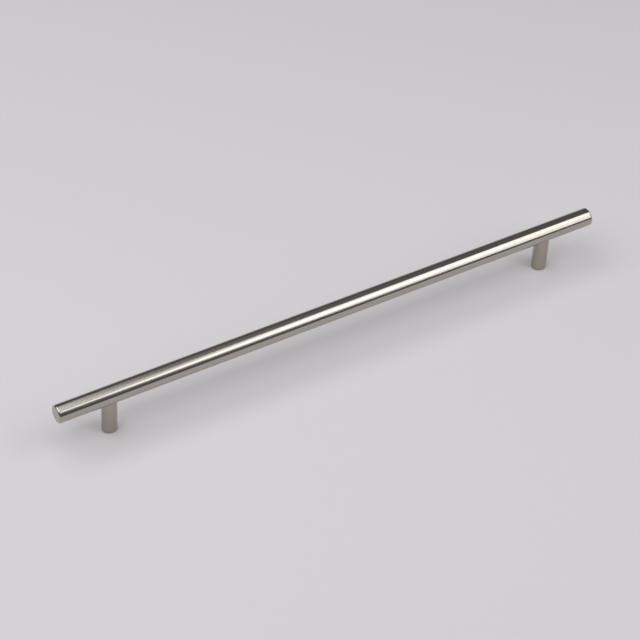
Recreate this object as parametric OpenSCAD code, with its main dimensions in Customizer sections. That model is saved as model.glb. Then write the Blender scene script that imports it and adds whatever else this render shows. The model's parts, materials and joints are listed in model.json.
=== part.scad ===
// T bar cabinet pull: a solid round bar carried on two turned posts.
// The origin lies on the cabinet's face, midway between the posts.
// X runs along the bar and Z points away from the cabinet.

/* [Bar] */
// Diameter of the bar
bar_d = 12; // [11:0.5:14]
// Length of the bar, end to end
bar_length = 392; // [380:2:480]
// Radius that the edge of each end is rounded to
bar_edge_r = 1.1; // [0.3:0.1:2.5]

/* [Posts] */
// Distance between the centres of the two fixing holes
hole_centres = 320; // [224:2:360]
// Distance from the cabinet's face to the far side of the bar
projection = 35; // [33:1:50]
// Diameter of each post
post_d = 10; // [8:0.5:11]
// Chamfer round the foot of each post
foot_chamfer = 0.4; // [0.1:0.1:1]

/* [Fixing holes] */
// Diameter of the hole in each foot, drilled for an M4 thread
fixing_hole_d = 3.3; // [2.5:0.1:4.2]
// Depth of the fixing hole at its full diameter
fixing_hole_depth = 12; // [8:0.5:13]
// Diameter of the countersink at the mouth of the fixing hole
fixing_sink_d = 4.6; // [4.3:0.1:6]

/* [Joining studs] */
// Diameter of the M5 joining stud, taken at the middle of its thread
stud_d = 4.5; // [4:0.1:5]
// Length of the joining stud
stud_length = 11.5; // [10:0.5:12]
// Depth to which the stud enters the bar, from the underside of the bar
stud_in_bar = 5.5; // [4:0.5:6.5]
// Bevel at both ends of the stud
stud_bevel = 0.5; // [0.2:0.1:0.8]
// Width across the flats of the stud's hexagon socket
socket_flats = 2.5; // [1.5:0.1:2.6]
// Depth of the stud's hexagon socket
socket_depth = 2.5; // [1.5:0.1:3.5]

/* [Fits] */
// Gap between the bar and the saddle of a post
seat_clearance = 0.02; // [0.01:0.01:0.1]
// Gap between the stud and the wall of its tapped hole
thread_clearance = 0.03; // [0.02:0.01:0.1]
// Gap left beyond each end of the stud
stud_end_gap = 0.5; // [0.2:0.1:1]

/* [Hidden] */
$fn = 96;

NICKEL = "#b7afa6";
STUD_STEEL = "#4a4a4c";

LEFT = -1;
RIGHT = 1;
DRILL_POINT = 118;    // included angle of a twist drill's point
SINK_ANGLE = 90;      // included angle of the countersink
OVERCUT = 1;          // how far a cutter runs past the face it opens

bar_r = bar_d / 2;
bar_axis_z = projection - bar_r;
bar_underside_z = bar_axis_z - bar_r;
post_r = post_d / 2;
stud_hole_r = stud_d / 2 + thread_clearance;
stud_top_z = bar_underside_z + stud_in_bar;
stud_bottom_z = stud_top_z - stud_length;

// Height of the cone that a drill's point leaves below a hole of radius r
function drill_point_height(r) = r / tan(DRILL_POINT / 2);

// Depth of a countersink that opens a hole of radius r out to the radius mouth_r
function sink_depth(r, mouth_r) = (mouth_r - r) / tan(SINK_ANGLE / 2);

// Outline of half a rod standing on the X axis, with both of its ends rounded
module rounded_rod_outline(r, length, edge_r) {
    square([r - edge_r, length]);
    translate([0, edge_r])
        square([r, length - 2 * edge_r]);
    for (y = [edge_r, length - edge_r])
        translate([r - edge_r, y])
            circle(edge_r);
}

// A round rod along Z, standing on the origin
module rounded_rod(r, length, edge_r) {
    rotate_extrude()
        rounded_rod_outline(r, length, edge_r);
}

// A drilled hole that goes up from the origin: full bore to depth, then the drill's point
module drilled_hole(r, depth) {
    translate([0, 0, -OVERCUT])
        cylinder(r = r, h = depth + OVERCUT);
    translate([0, 0, depth])
        cylinder(r1 = r, r2 = 0, h = drill_point_height(r));
}

// The cone that opens the mouth of a hole of radius r, going up from the origin
module countersink(r, mouth_r) {
    widening = tan(SINK_ANGLE / 2);
    translate([0, 0, -OVERCUT])
        cylinder(r1 = mouth_r + OVERCUT * widening, r2 = r, h = sink_depth(r, mouth_r) + OVERCUT);
}

// Places its children on the axis of a post
module at_post(side) {
    translate([side * hole_centres / 2, 0, 0])
        children();
}

// The bar with a tapped hole for each joining stud in its underside
module handle_bar() {
    color(NICKEL)
    difference() {
        translate([-bar_length / 2, 0, bar_axis_z])
            rotate([0, 90, 0])
                rounded_rod(bar_r, bar_length, bar_edge_r);
        for (side = [LEFT, RIGHT])
            at_post(side)
                translate([0, 0, bar_underside_z])
                    drilled_hole(stud_hole_r, stud_in_bar + stud_end_gap);
    }
}

// Round blank of a post, with its foot chamfered, long enough to reach into the bar
module post_blank() {
    rotate_extrude()
        polygon([
            [0, 0],
            [post_r - foot_chamfer, 0],
            [post_r, foot_chamfer],
            [post_r, bar_axis_z],
            [0, bar_axis_z]
        ]);
}

// The cutter that mills the saddle: the bar, grown by the seating gap
module saddle_cutter() {
    translate([-post_d, 0, bar_axis_z])
        rotate([0, 90, 0])
            cylinder(r = bar_r + seat_clearance, h = 2 * post_d);
}

// A post: saddle at the top to seat round the bar, tapped holes at both ends
module post(side) {
    stud_hole_depth = bar_underside_z - stud_bottom_z + stud_end_gap;
    color(NICKEL)
    at_post(side)
    difference() {
        post_blank();
        saddle_cutter();
        drilled_hole(fixing_hole_d / 2, fixing_hole_depth);
        countersink(fixing_hole_d / 2, fixing_sink_d / 2);
        translate([0, 0, bar_underside_z])
            mirror([0, 0, 1])
                drilled_hole(stud_hole_r, stud_hole_depth);
    }
}

// A headless stud, driven into the bar by the socket in its lower end.
// The post is then screwed onto it until the saddle seats.
module joining_stud(side) {
    stud_r = stud_d / 2;
    socket_r = socket_flats / 2 / cos(30);
    color(STUD_STEEL)
    at_post(side)
    translate([0, 0, stud_bottom_z])
    difference() {
        rotate_extrude()
            polygon([
                [0, 0],
                [stud_r - stud_bevel, 0],
                [stud_r, stud_bevel],
                [stud_r, stud_length - stud_bevel],
                [stud_r - stud_bevel, stud_length],
                [0, stud_length]
            ]);
        translate([0, 0, -OVERCUT])
            cylinder(r = socket_r, h = socket_depth + OVERCUT, $fn = 6);
        translate([0, 0, socket_depth])
            cylinder(r1 = socket_flats / 2, r2 = 0, h = drill_point_height(socket_flats / 2));
    }
}

handle_bar();
post(LEFT);  // left_post
post(RIGHT);  // right_post
joining_stud(LEFT);  // left_joining_stud
joining_stud(RIGHT);  // right_joining_stud
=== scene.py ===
# %% [markdown]
# # A T bar cabinet pull in brushed nickel
#
# A T bar pull is a solid round bar carried on two turned posts. A stud hidden inside each post draws
# it up against the bar, and a screw through the cabinet's door goes into the tapped hole in its foot.
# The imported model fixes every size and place. In this lesson each piece is modelled again with enough
# facets for clean reflections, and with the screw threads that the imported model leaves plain. Then it
# gets its finish, and the scene gets a floor, lamps and a camera.

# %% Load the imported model
import json
import math

import bpy
from mathutils import Matrix, Vector


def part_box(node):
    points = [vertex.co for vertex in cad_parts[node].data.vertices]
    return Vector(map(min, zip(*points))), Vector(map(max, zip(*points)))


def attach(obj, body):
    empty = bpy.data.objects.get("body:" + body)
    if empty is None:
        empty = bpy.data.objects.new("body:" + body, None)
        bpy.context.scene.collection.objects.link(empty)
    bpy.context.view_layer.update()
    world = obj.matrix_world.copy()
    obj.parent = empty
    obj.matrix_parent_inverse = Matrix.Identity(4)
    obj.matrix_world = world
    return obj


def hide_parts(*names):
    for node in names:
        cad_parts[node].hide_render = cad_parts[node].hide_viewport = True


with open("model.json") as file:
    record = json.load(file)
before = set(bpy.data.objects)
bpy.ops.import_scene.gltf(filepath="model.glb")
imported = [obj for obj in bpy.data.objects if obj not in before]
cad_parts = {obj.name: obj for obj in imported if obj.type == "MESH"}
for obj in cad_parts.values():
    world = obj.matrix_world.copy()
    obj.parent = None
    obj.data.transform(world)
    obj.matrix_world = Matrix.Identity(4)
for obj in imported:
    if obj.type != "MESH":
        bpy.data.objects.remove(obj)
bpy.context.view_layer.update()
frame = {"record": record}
MM = 0.001  # one millimetre, in the scene's metres

# %% [markdown]
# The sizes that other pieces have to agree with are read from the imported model. A round piece comes
# packed as facets, and the height of its box is its true diameter, because a corner of the facets lies
# at the very top and bottom. The few sizes that no box shows, such as the rounding of an edge, are
# written here by name.

# %% Read the sizes
bar_low, bar_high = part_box("handle_bar")
BAR_LENGTH = bar_high.x - bar_low.x
BAR_R = (bar_high.z - bar_low.z) / 2
BAR_AXIS_Z = bar_high.z - BAR_R
BAR_EDGE_R = 1.1 * MM  # rounding of the bar's ends

post_low, post_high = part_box("right_post")
POST_X = (post_low.x + post_high.x) / 2
POST_R = (post_high.x - post_low.x) / 2
FOOT_CHAMFER = 0.4 * MM
SEAT_GAP = 0.02 * MM  # between the bar and the saddle

stud_low, stud_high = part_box("right_joining_stud")
STUD_END_GAP = 0.5 * MM  # left beyond each end of a stud
STUD_BEVEL = 0.5 * MM

fixing = next(mount for mount in frame["record"]["mounts"] if mount["name"] == "right_fixing_hole")
FIXING_R = fixing["dims"]["r_mm"] * MM
FIXING_DEPTH = 12 * MM
FIXING_SINK_R = 2.3 * MM
print("bar", round(BAR_LENGTH / MM, 2), "x", round(2 * BAR_R / MM, 2), "mm, posts at", round(POST_X / MM, 2))

# %% [markdown]
# A primitive is selected as soon as it is added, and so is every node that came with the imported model.
# An operator acts on all that is selected, so each step starts by choosing one piece.

# %% Choose one piece
FACES_ALONE = (False, False, True)  # Blender's switches for vertices, edges and faces
EDGES_ALONE = (False, True, False)
VERTICES_ALONE = (True, False, False)


def choose(piece):
    """Selects this piece alone and makes it the active one."""
    bpy.ops.object.select_all(action="DESELECT")
    piece.select_set(True)
    bpy.context.view_layer.objects.active = piece


def pick_faces(piece, wanted):
    """Enters edit mode in face mode, with only the faces that pass the test selected."""
    choose(piece)
    mesh = piece.data
    for part in (mesh.vertices, mesh.edges):
        part.foreach_set("select", [False] * len(part))
    for face in mesh.polygons:
        face.select = wanted(face)
    bpy.context.tool_settings.mesh_select_mode = FACES_ALONE
    bpy.ops.object.mode_set(mode="EDIT")


# %% [markdown]
# The posts, the drills and the blank of a stud are all turned shapes. On a lathe such a shape is a row
# of diameters along an axis. Here it starts as a filled circle, and its last face is extruded and
# resized from one diameter to the next, until it closes in a point or stays as a flat end. The circle
# is turned by half a side, so no corner of a drill meets a corner of the thread cut into its hole.

# %% Turn a shape from a row of diameters
def turned(name, rings, sides):
    """A closed round shape on the Z axis. rings is a list of (radius, height), from one end to the other."""
    first_r, first_z = rings[0]
    bpy.ops.object.select_all(action="DESELECT")
    bpy.ops.mesh.primitive_circle_add(
        vertices=sides, radius=first_r, fill_type="NGON", location=(0, 0, first_z),
        rotation=(0, 0, math.pi / sides))
    piece = bpy.context.object
    piece.name = name
    bpy.ops.object.transform_apply(location=True, rotation=True)
    bpy.ops.object.mode_set(mode="EDIT")
    for (last_r, last_z), (radius, height) in zip(rings, rings[1:]):
        bpy.ops.mesh.extrude_region_move(TRANSFORM_OT_translate={"value": (0, 0, height - last_z)})
        if radius == 0:
            bpy.ops.mesh.merge(type="CENTER")
        elif radius != last_r:
            ratio = radius / last_r
            bpy.ops.transform.resize(value=(ratio, ratio, 1), center_override=(0, 0, height))
    bpy.ops.mesh.select_all(action="SELECT")
    bpy.ops.mesh.normals_make_consistent(inside=False)
    bpy.ops.object.mode_set(mode="OBJECT")
    return piece


def move_mesh(piece, step):
    """Moves the mesh and leaves the object at the origin."""
    choose(piece)
    bpy.ops.object.mode_set(mode="EDIT")
    bpy.ops.mesh.select_all(action="SELECT")
    bpy.ops.transform.translate(value=step)
    bpy.ops.object.mode_set(mode="OBJECT")


# %% [markdown]
# Holes and seats are cut as in a workshop: a cutter of the right shape is put in place, and what it
# covers is taken away. A Boolean modifier does that, and it is applied at once, so that the finished
# piece is a plain mesh. Its round walls are then shaded smooth, and its sharp edges are kept.

# %% Cut one shape with another
SHARP_ANGLE = math.radians(30)  # faces that meet at more than this keep a sharp edge


def cut(piece, cutter, operation="DIFFERENCE"):
    """Applies a Boolean modifier to piece and throws the cutter away."""
    modifier = piece.modifiers.new("cut", "BOOLEAN")
    modifier.operation = operation
    modifier.solver = "EXACT"
    modifier.object = cutter
    choose(piece)
    bpy.ops.object.modifier_apply(modifier=modifier.name)
    bpy.data.objects.remove(cutter)


def smooth(piece):
    """Shades the piece smooth, except across its sharp edges."""
    choose(piece)
    bpy.ops.object.shade_smooth_by_angle(angle=SHARP_ANGLE)


def report(piece):
    """Prints the size of a finished mesh and how many of its edges are open."""
    choose(piece)
    bpy.ops.object.mode_set(mode="EDIT")
    bpy.context.tool_settings.mesh_select_mode = EDGES_ALONE
    bpy.ops.mesh.select_all(action="DESELECT")
    bpy.ops.mesh.select_non_manifold()
    bpy.ops.object.mode_set(mode="OBJECT")
    open_edges = sum(edge.select for edge in piece.data.edges)
    triangles = sum(len(face.vertices) - 2 for face in piece.data.polygons)
    print(piece.name, "has", triangles, "triangles and", open_edges, "open edges")


# %% [markdown]
# A screw thread is one outline of a tooth, carried round and up the axis. The Screw modifier does just
# that. It starts more than a turn below the wanted length and ends more than a turn above it, and a
# flat cut at each end then closes the rod, as a saw would. The helix of every thread of one pitch
# starts at a whole number of pitches from the ground, so a stud and its hole fit tooth to tooth.

# %% Make a threaded rod
THREAD_SIDES = 64
M4 = {"pitch": 0.7 * MM, "outer_r": 2.0 * MM, "crest": 0.0875 * MM}
M5 = {"pitch": 0.8 * MM, "outer_r": 2.5 * MM, "crest": 0.1 * MM}
FLANK = math.tan(math.radians(30))  # the two flanks of a tooth meet at 60 degrees
ROOT_DEPTH = 0.6134  # depth of an outside thread, as a share of its pitch
WELD = 0.001 * MM  # points nearer than this are made one
SLICE = 0.0001 * MM  # how near a point counts as lying on a cutting plane
for size, thread in (("M4", M4), ("M5", M5)):
    print(size, "rises", round(thread["pitch"] / MM, 2), "mm a turn")


def threaded_rod(name, thread, root_r, low, high, growth=0.0):
    """A rod on the Z axis with a right-hand thread. growth makes a tap, a little larger all round."""
    pitch = thread["pitch"]
    outer_r = thread["outer_r"] + growth
    crest = thread["crest"] + 2 * growth * FLANK
    rise = (outer_r - root_r) * FLANK
    root = (pitch - crest) / 2 - rise
    start = (math.floor(low / pitch) - 2) * pitch
    turns = math.ceil((high - start) / pitch) + 2

    bpy.ops.object.select_all(action="DESELECT")
    bpy.ops.mesh.primitive_plane_add(size=pitch)
    rod = bpy.context.object
    rod.name = name
    bpy.ops.object.mode_set(mode="EDIT")
    bpy.context.tool_settings.mesh_select_mode = VERTICES_ALONE
    bpy.ops.mesh.merge(type="CENTER")
    bpy.ops.transform.translate(value=(root_r, 0, start))
    for out, up in ((0, root), (outer_r - root_r, rise), (0, crest), (root_r - outer_r, rise), (0, root)):
        bpy.ops.mesh.extrude_region_move(TRANSFORM_OT_translate={"value": (out, 0, up)})
    bpy.ops.object.mode_set(mode="OBJECT")

    screw = rod.modifiers.new("thread", "SCREW")
    screw.screw_offset = pitch
    screw.iterations = turns
    screw.steps = screw.render_steps = THREAD_SIDES
    bpy.ops.object.modifier_apply(modifier=screw.name)

    bpy.ops.object.mode_set(mode="EDIT")
    bpy.ops.mesh.select_all(action="SELECT")
    bpy.ops.mesh.remove_doubles(threshold=WELD)
    for height, side in ((low, "clear_inner"), (high, "clear_outer")):
        bpy.ops.mesh.select_all(action="SELECT")
        bpy.ops.mesh.bisect(plane_co=(0, 0, height), plane_no=(0, 0, 1), use_fill=True,
                            threshold=SLICE, **{side: True})
    bpy.ops.mesh.select_all(action="SELECT")
    bpy.ops.mesh.normals_make_consistent(inside=False)
    bpy.ops.object.mode_set(mode="OBJECT")
    return rod


# %% [markdown]
# A tapped hole is drilled first, and a tap then cuts the thread into its wall. The two cutters stay
# two here too: the tap's root lies a little inside the drilled wall, so that the two never share a
# surface. Both stand on the Z axis, and the work is slid under them as on a drill press. Coordinates
# are finest near the origin, which keeps the small faces of a thread exact.

# %% Drill and tap
DRILL_SIDES = THREAD_SIDES
DRILL_POINT = math.tan(math.radians(118 / 2))
TAP_GROWTH = 0.03 * MM
TAP_ROOT = 0.05 * MM  # how far the tap's root lies inside the drilled wall
OVERCUT = 1.0 * MM  # how far a cutter runs past the face it opens
print("a tap's radius is", round(TAP_GROWTH / MM, 3), "mm more than that of its screw")


def drill_hole(piece, mouth_z, radius, depth, sink_r=None):
    """Drills along the Z axis. A negative depth drills downwards. sink_r opens the mouth with a cone."""
    way = math.copysign(1, depth)
    rings = [(radius, -way * OVERCUT), (radius, depth), (0, depth + way * radius / DRILL_POINT)]
    if sink_r:
        sink = way * (sink_r - radius)
        rings[:1] = [(sink_r + OVERCUT, -way * OVERCUT), (radius, sink)]
    cut(piece, turned("drill", [(r, mouth_z + z) for r, z in rings], DRILL_SIDES))


def tap_hole(piece, thread, drilled_r, low, high):
    """Cuts a thread into the wall of a drilled hole between two heights."""
    cut(piece, threaded_rod("tap", thread, drilled_r - TAP_ROOT, low, high, TAP_GROWTH))


# %% [markdown]
# ## The bar
#
# The bar is cut from solid rod and its two ends are faced and rounded. It starts as a cylinder, and
# the bevel operator rounds the rims of its end faces. Long smooth metal shows every error of shading,
# so a ring of edges is added just inside each rounding and on both sides of each stud hole. It keeps
# the turn of the surface's normals in the short faces there.

# %% Model the bar
BAR_SIDES = 192
EDGE_STEPS = 12
RING_GAP = 0.25 * MM
HOLE_RING = 4.2 * MM  # from a stud hole's axis to the ring on each side, hidden by the post
half_length = BAR_LENGTH / 2

bpy.ops.object.select_all(action="DESELECT")
bpy.ops.mesh.primitive_cylinder_add(
    vertices=BAR_SIDES, radius=BAR_R, depth=BAR_LENGTH, location=(0, 0, BAR_AXIS_Z),
    rotation=(0, math.pi / 2, 0))
bar = bpy.context.object
bar.name = "bar"
bpy.ops.object.transform_apply(location=True, rotation=True)

pick_faces(bar, lambda face: abs(face.normal.x) > 0.9)
bpy.ops.mesh.bevel(offset=BAR_EDGE_R, offset_type="OFFSET", segments=EDGE_STEPS, profile=0.5, affect="EDGES")
bpy.ops.object.mode_set(mode="OBJECT")

pick_faces(bar, lambda face: abs(face.center.x) > half_length - WELD)
bpy.ops.mesh.inset(thickness=RING_GAP)
ring_places = [half_length - BAR_EDGE_R - RING_GAP, POST_X - HOLE_RING, POST_X + HOLE_RING]
for place in ring_places:
    for side in (-1, 1):
        bpy.ops.mesh.select_all(action="SELECT")
        bpy.ops.mesh.bisect(plane_co=(side * place, 0, 0), plane_no=(1, 0, 0), threshold=SLICE)
bpy.ops.object.mode_set(mode="OBJECT")
report(bar)

# %% [markdown]
# Each stud is screwed into a blind tapped hole in the bar's underside. The hole starts where the post's
# saddle seats, so it is hidden, but it is cut here as it is on the real bar.

# %% Drill and tap the bar for its studs
M5_DRILL_R = 2.1 * MM
for x in (-POST_X, POST_X):
    move_mesh(bar, (-x, 0, 0))
    drill_hole(bar, bar_low.z, M5_DRILL_R, stud_high.z - bar_low.z + STUD_END_GAP)
    tap_hole(bar, M5, M5_DRILL_R, bar_low.z - OVERCUT, stud_high.z + STUD_END_GAP / 2)
    move_mesh(bar, (x, 0, 0))
smooth(bar)
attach(bar, "root")
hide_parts("handle_bar")
report(bar)

# %% [markdown]
# ## The posts
#
# A post is turned from thinner rod, and its foot is chamfered. Its top is milled with a cutter of the
# bar's own diameter, lying the way the bar will lie. That leaves a saddle that seats round the bar
# with no gap to see. The foot gets the tapped hole for the cabinet's screw, and the top gets the
# tapped hole for the stud.

# %% Model a post
POST_SIDES = 256
post_rings = [
    (POST_R - FOOT_CHAMFER, 0),
    (POST_R, FOOT_CHAMFER),
    (POST_R, FOOT_CHAMFER + RING_GAP),
    (POST_R, bar_low.z - MM),
    (POST_R, BAR_AXIS_Z),
]
post = turned("right_turned_post", post_rings, POST_SIDES)

bpy.ops.object.select_all(action="DESELECT")
bpy.ops.mesh.primitive_cylinder_add(
    vertices=BAR_SIDES, radius=BAR_R + SEAT_GAP, depth=4 * POST_R, location=(0, 0, BAR_AXIS_Z),
    rotation=(0, math.pi / 2, 0))
cut(post, bpy.context.object)

drill_hole(post, 0, FIXING_R, FIXING_DEPTH, FIXING_SINK_R)
tap_hole(post, M4, FIXING_R, -OVERCUT, FIXING_DEPTH - M4["pitch"])
drill_hole(post, bar_low.z, M5_DRILL_R, stud_low.z - bar_low.z - STUD_END_GAP)
tap_hole(post, M5, M5_DRILL_R, stud_low.z - STUD_END_GAP / 2, bar_low.z + OVERCUT)
move_mesh(post, (POST_X, 0, 0))
smooth(post)
report(post)

# %% [markdown]
# ## The joining studs
#
# The stud is a piece of threaded rod with bevelled ends and a hexagon socket in its lower end. A long
# threaded rod is made first, and a turned blank then keeps only what lies inside it, so the thread
# runs out in the bevels as it does on a real stud. The blank is a little wider than the thread, and
# only its two bevels touch it.

# %% Model a joining stud
M5_ROOT_R = M5["outer_r"] - ROOT_DEPTH * M5["pitch"]
SOCKET_FLATS = 2.5 * MM
SOCKET_DEPTH = 2.5 * MM
SPARE = 0.05 * MM  # how much wider the blank is than the thread
blank_r = M5["outer_r"] + SPARE

stud_rings = [
    (blank_r - SPARE - STUD_BEVEL, stud_low.z),
    (blank_r, stud_low.z + STUD_BEVEL + SPARE),
    (blank_r, stud_high.z - STUD_BEVEL - SPARE),
    (blank_r - SPARE - STUD_BEVEL, stud_high.z),
]
stud = threaded_rod("right_threaded_stud", M5, M5_ROOT_R, stud_low.z - OVERCUT, stud_high.z + OVERCUT)
cut(stud, turned("blank", stud_rings, THREAD_SIDES), "INTERSECT")

socket_r = SOCKET_FLATS / 2 / math.cos(math.radians(30))
socket_rings = [
    (socket_r, stud_low.z - OVERCUT),
    (socket_r, stud_low.z + SOCKET_DEPTH),
    (0, stud_low.z + SOCKET_DEPTH + socket_r / DRILL_POINT),
]
cut(stud, turned("hex_key", socket_rings, 6))
move_mesh(stud, (POST_X, 0, 0))
smooth(stud)
report(stud)

# %% [markdown]
# The two ends of the pull are the same, so the left post and stud are copies of the right ones, moved
# along the bar. Each copy has a mesh of its own. They are moved and not mirrored, because a mirrored
# thread would be a left-hand one.

# %% Copy the post and the stud to the left
def copied_left(piece, name):
    """A copy of piece at the other post's place, with its own mesh."""
    choose(piece)
    bpy.ops.object.duplicate()
    other = bpy.context.object
    other.name = name
    move_mesh(other, (-2 * POST_X, 0, 0))
    return other


left_post = copied_left(post, "left_turned_post")
left_stud = copied_left(stud, "left_threaded_stud")
for piece, node, slot in (
    (post, "right_post", "brushed_nickel"),
    (left_post, "left_post", "brushed_nickel"),
    (stud, "right_joining_stud", "stud_steel"),
    (left_stud, "left_joining_stud", "stud_steel"),
):
    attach(piece, "root")
    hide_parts(node)
    print(piece.name, "stands for", node)

# %% [markdown]
# ## The finishes
#
# Brushed nickel is plated steel that was rubbed with a fine belt while it turned. The belt leaves lines
# round the metal, so a reflection stays sharp across the bar and is drawn out along it. The shader's
# anisotropy does the drawing out. The lines themselves are a noise that is squeezed along the axis and
# stretched round it. One node group makes them for the bar and for the posts, each with its own values.

# %% Build the group for belt-ground lines
LINE_DETAIL = 4.0  # finer and finer noise, so that no two lines are alike
CLOUD_SCALE = 90.0  # clouds in a metre, so one is about 11 mm wide
CLOUD_SHARE = 0.2  # how much the clouds count beside the lines
NOISE_LOW = 0.3  # nearly all of a noise lies between these two
NOISE_HIGH = 0.7


def add_node(tree, kind, place, **settings):
    """Adds a node at a place on the sheet and sets its properties."""
    node = tree.nodes.new(kind)
    node.location = place
    for name, value in settings.items():
        setattr(node, name, value)
    return node


lines = bpy.data.node_groups.new("belt_lines", "ShaderNodeTree")
for name, kind, value in (
    ("Vector", "NodeSocketVector", None),
    ("Line Spacing", "NodeSocketFloat", 0.15 * MM),
    ("Line Length", "NodeSocketFloat", 6 * MM),
    ("Dull Color", "NodeSocketColor", (0.5, 0.5, 0.5, 1)),
    ("Bright Color", "NodeSocketColor", (0.6, 0.6, 0.6, 1)),
    ("Smooth", "NodeSocketFloat", 0.25),
    ("Rough", "NodeSocketFloat", 0.35),
):
    socket = lines.interface.new_socket(name, in_out="INPUT", socket_type=kind)
    if value is not None:
        socket.default_value = value
for name, kind in (
    ("Color", "NodeSocketColor"),
    ("Roughness", "NodeSocketFloat"),
    ("Height", "NodeSocketFloat"),
):
    lines.interface.new_socket(name, in_out="OUTPUT", socket_type=kind)

entry = add_node(lines, "NodeGroupInput", (-1100, 0))
result = add_node(lines, "NodeGroupOutput", (700, 0))
across = add_node(lines, "ShaderNodeMath", (-900, -150), operation="DIVIDE")
across.inputs[0].default_value = 1.0
along = add_node(lines, "ShaderNodeMath", (-900, -320), operation="DIVIDE")
along.inputs[0].default_value = 1.0
squeeze = add_node(lines, "ShaderNodeCombineXYZ", (-720, -220))
squeezed = add_node(lines, "ShaderNodeVectorMath", (-540, 0), operation="MULTIPLY")
fine = add_node(lines, "ShaderNodeTexNoise", (-340, 100))
fine.inputs["Scale"].default_value = 1.0
fine.inputs["Detail"].default_value = LINE_DETAIL
fine.inputs["Roughness"].default_value = 0.6
cloud = add_node(lines, "ShaderNodeTexNoise", (-340, -200))
cloud.inputs["Scale"].default_value = CLOUD_SCALE
cloud.inputs["Detail"].default_value = 3.0
blend = add_node(lines, "ShaderNodeMix", (-120, 0), data_type="FLOAT")
blend.inputs["Factor"].default_value = CLOUD_SHARE
level = add_node(lines, "ShaderNodeMapRange", (80, 0))
level.inputs["From Min"].default_value = NOISE_LOW
level.inputs["From Max"].default_value = NOISE_HIGH
tint = add_node(lines, "ShaderNodeMix", (400, 200), data_type="RGBA")
grip = add_node(lines, "ShaderNodeMix", (400, -50), data_type="FLOAT")
print("belt_lines has", len(lines.nodes), "nodes")

# %% Join the group's nodes
for start, end in (
    (entry.outputs["Line Spacing"], across.inputs[1]),
    (entry.outputs["Line Length"], along.inputs[1]),
    (across.outputs[0], squeeze.inputs["X"]),
    (along.outputs[0], squeeze.inputs["Y"]),
    (along.outputs[0], squeeze.inputs["Z"]),
    (entry.outputs["Vector"], squeezed.inputs[0]),
    (squeeze.outputs[0], squeezed.inputs[1]),
    (squeezed.outputs[0], fine.inputs["Vector"]),
    (entry.outputs["Vector"], cloud.inputs["Vector"]),
    (fine.outputs["Fac"], blend.inputs["A"]),
    (cloud.outputs["Fac"], blend.inputs["B"]),
    (blend.outputs["Result"], level.inputs["Value"]),
    (level.outputs["Result"], tint.inputs["Factor"]),
    (entry.outputs["Dull Color"], tint.inputs["A"]),
    (entry.outputs["Bright Color"], tint.inputs["B"]),
    (level.outputs["Result"], grip.inputs["Factor"]),
    (entry.outputs["Rough"], grip.inputs["A"]),
    (entry.outputs["Smooth"], grip.inputs["B"]),
    (tint.outputs["Result"], result.inputs["Color"]),
    (grip.outputs["Result"], result.inputs["Roughness"]),
    (fine.outputs["Fac"], result.inputs["Height"]),
):
    lines.links.new(start, end)
print("belt_lines has", len(lines.links), "links")

# %% [markdown]
# The bar's lines run round X and a post's run round Z. The group squeezes its noise along X, so a
# post's material first turns the coordinates until its own axis lies along X. A Tangent node gives the
# direction round each piece, and a quarter turn of the anisotropy makes the highlight run across it.

# %% Mix one ground metal
BAR_DULL = (0.44, 0.405, 0.36, 1)
BAR_BRIGHT = (0.505, 0.465, 0.415, 1)
# the posts' nickel is the bar's nickel painted darker: painted shade
POST_SHADED_DULL = (0.425, 0.38, 0.33, 1)
POST_SHADED_BRIGHT = (0.48, 0.43, 0.375, 1)
STEEL_DULL = (0.03, 0.03, 0.033, 1)
STEEL_BRIGHT = (0.12, 0.12, 0.125, 1)
RELIEF_STRENGTH = 0.05
RELIEF_DEPTH = 0.002 * MM
QUARTER_TURN = 0.25


def ground_metal(name, axis, dull, bright, roughness, anisotropy, line_spacing):
    """A metal ground round one of its axes. roughness has a value for bright lines and one for dull ones."""
    material = bpy.data.materials.new(name)
    material.use_nodes = True
    tree = material.node_tree
    tree.nodes.clear()
    output = add_node(tree, "ShaderNodeOutputMaterial", (700, 0))
    shader = add_node(tree, "ShaderNodeBsdfPrincipled", (400, 0))
    shader.inputs["Metallic"].default_value = 1.0
    shader.inputs["Anisotropic"].default_value = anisotropy
    shader.inputs["Anisotropic Rotation"].default_value = QUARTER_TURN
    coordinates = add_node(tree, "ShaderNodeTexCoord", (-700, 0))
    turn = add_node(tree, "ShaderNodeMapping", (-500, 0))
    if axis == "Z":
        turn.inputs["Rotation"].default_value = (0, math.radians(90), 0)
    grain = add_node(tree, "ShaderNodeGroup", (-250, 0), node_tree=lines)
    grain.inputs["Line Spacing"].default_value = line_spacing
    grain.inputs["Dull Color"].default_value = dull
    grain.inputs["Bright Color"].default_value = bright
    grain.inputs["Smooth"].default_value = roughness[0]
    grain.inputs["Rough"].default_value = roughness[1]
    relief = add_node(tree, "ShaderNodeBump", (100, -250))
    relief.inputs["Strength"].default_value = RELIEF_STRENGTH
    relief.inputs["Distance"].default_value = RELIEF_DEPTH
    round_axis = add_node(tree, "ShaderNodeTangent", (100, -450), direction_type="RADIAL", axis=axis)
    for start, end in (
        (coordinates.outputs["Object"], turn.inputs["Vector"]),
        (turn.outputs["Vector"], grain.inputs["Vector"]),
        (grain.outputs["Color"], shader.inputs["Base Color"]),
        (grain.outputs["Roughness"], shader.inputs["Roughness"]),
        (grain.outputs["Height"], relief.inputs["Height"]),
        (relief.outputs["Normal"], shader.inputs["Normal"]),
        (round_axis.outputs["Tangent"], shader.inputs["Tangent"]),
        (shader.outputs["BSDF"], output.inputs["Surface"]),
    ):
        tree.links.new(start, end)
    print(name, "is ground round", axis)
    return material
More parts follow.
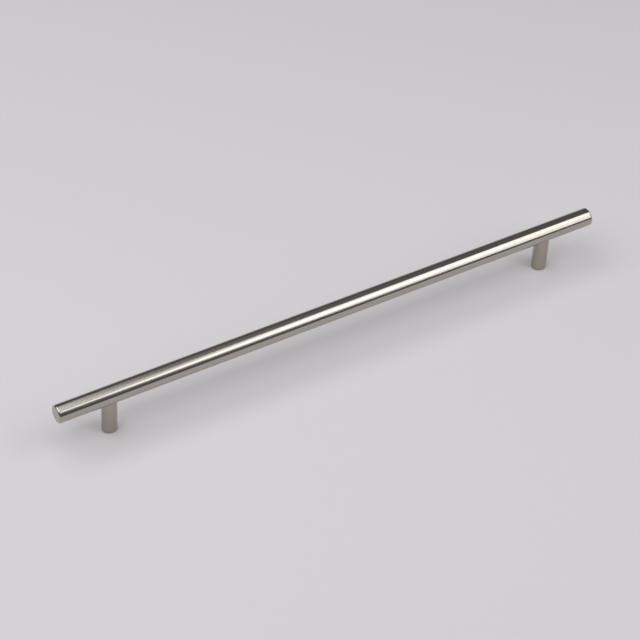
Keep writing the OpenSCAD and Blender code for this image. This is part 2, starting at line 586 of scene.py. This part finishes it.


# %% [markdown]
# The bar and the posts are the same nickel, ground alike. The posts' copy is painted darker than the bar's,
# as painted shade for the shaded floor that the posts reflect near their feet. The bar's lines draw a
# reflection out further. The studs are black steel, which no one sees once the pull is screwed together.

# %% Put the metals on the pieces
bar_nickel = ground_metal("bar_nickel", "X", BAR_DULL, BAR_BRIGHT, (0.155, 0.2), 0.83, 0.1 * MM)
shaded_post_nickel = ground_metal("shaded_post_nickel", "Z", POST_SHADED_DULL, POST_SHADED_BRIGHT, (0.16, 0.21), 0.6, 0.1 * MM)
black_steel = ground_metal("stud_black_steel", "Z", STEEL_DULL, STEEL_BRIGHT, (0.35, 0.5), 0.2, 0.3 * MM)

for piece, material in (
    (bar, bar_nickel),
    (post, shaded_post_nickel),
    (left_post, shaded_post_nickel),
    (stud, black_steel),
    (left_stud, black_steel),
):
    piece.data.materials.clear()
    piece.data.materials.append(material)
    print(piece.name, "is made of", material.name)

# %% [markdown]
# ## The floor, the lamps and the camera
#
# The floor is one plain pale sheet. It lies a hair below the feet, so that the two never share a plane.

# %% Lay the floor
FLOOR_SIDE = 12.0
FLOOR_DROP = 0.02 * MM
FLOOR_COLOR = (0.66, 0.63, 0.635, 1)
FLOOR_ROUGHNESS = 0.9

bpy.ops.object.select_all(action="DESELECT")
bpy.ops.mesh.primitive_plane_add(size=FLOOR_SIDE, location=(0, 0, -FLOOR_DROP))
floor = bpy.context.object
floor.name = "floor"
paper = bpy.data.materials.new("pale_floor")
paper.use_nodes = True
paper_shader = paper.node_tree.nodes["Principled BSDF"]
paper_shader.inputs["Base Color"].default_value = FLOOR_COLOR
paper_shader.inputs["Roughness"].default_value = FLOOR_ROUGHNESS
floor.data.materials.append(paper)
print("floor", FLOOR_SIDE, "m square,", round(FLOOR_DROP / MM, 3), "mm below the feet")

# %% [markdown]
# Metal looks like what it reflects. Seen from the camera, each strip along the bar reflects one
# direction across it: the top strip looks at the dark studio behind, the next looks up, and the lowest
# sees the floor. Two softboxes on the right give the bright band. One hangs above the bar, and one
# stands in front of it and is turned in its own plane, so the band thins out towards the left end. A
# third one on the left lights the floor and gives the left end its dimmer glow.

# %% Hang the softboxes
STUDIO_GREY = (0.13, 0.13, 0.131, 1)
studio = bpy.data.worlds.new("studio")
studio.use_nodes = True
studio.node_tree.nodes["Background"].inputs["Color"].default_value = STUDIO_GREY
bpy.context.scene.world = studio
LAMP_COLOR = (0.95, 0.975, 1.0)  # a little cool, as daylight is


def softbox(name, x, angle, distance, width, height, turn, brightness):
    """A softbox that faces the bar. The angle goes over the bar, from the floor behind it to the front."""
    way = math.radians(angle)
    data = bpy.data.lights.new(name, "AREA")
    data.shape = "RECTANGLE"
    data.size = width
    data.size_y = height
    data.color = LAMP_COLOR
    data.energy = brightness * math.pi * width * height
    facing = Matrix.Rotation(way - math.pi / 2, 4, "X") @ Matrix.Rotation(math.radians(turn), 4, "Z")
    lamp = bpy.data.objects.new(name, data)
    lamp.rotation_euler = facing.to_euler()
    lamp.location = (x, distance * math.cos(way), BAR_AXIS_Z + distance * math.sin(way))
    bpy.context.scene.collection.objects.link(lamp)
    print(name, "gives", round(data.energy, 1), "W")


softbox("top_softbox", x=1.0, angle=108, distance=1.3, width=1.2, height=0.85, turn=0, brightness=2.15)
softbox("front_softbox", x=0.82, angle=138.3, distance=1.39, width=1.45, height=0.62, turn=-44, brightness=2)
softbox("left_softbox", x=-0.86, angle=82, distance=1.3, width=2.08, height=1.89, turn=0, brightness=2.02)

# %% [markdown]
# The camera stands where the outlines of the bar, the posts and the feet agree with the picture that
# the pull is modelled from. It looks down on the pull from the front left, through a long lens.

# %% Set up the camera
CAMERA_PLACE = Vector((-0.6506, -0.998, 1.1563))
CAMERA_YAW = math.radians(32.69)  # from straight along the floor towards +X
CAMERA_PITCH = math.radians(43.64)  # below the horizon
CAMERA_ROLL = math.radians(3.38)
CAMERA_LENS = 145.2

camera_data = bpy.data.cameras.new("camera")
camera_data.lens = CAMERA_LENS
camera = bpy.data.objects.new("camera", camera_data)
bpy.context.scene.collection.objects.link(camera)
camera.matrix_world = (
    Matrix.Translation(CAMERA_PLACE)
    @ Matrix.Rotation(-CAMERA_YAW, 4, "Z")
    @ Matrix.Rotation(math.pi / 2 - CAMERA_PITCH, 4, "X")
    @ Matrix.Rotation(CAMERA_ROLL, 4, "Z")
)
bpy.context.scene.camera = camera
bpy.context.scene.view_settings.view_transform = "Standard"
print("camera", round(CAMERA_PLACE.length, 2), "m from the pull")
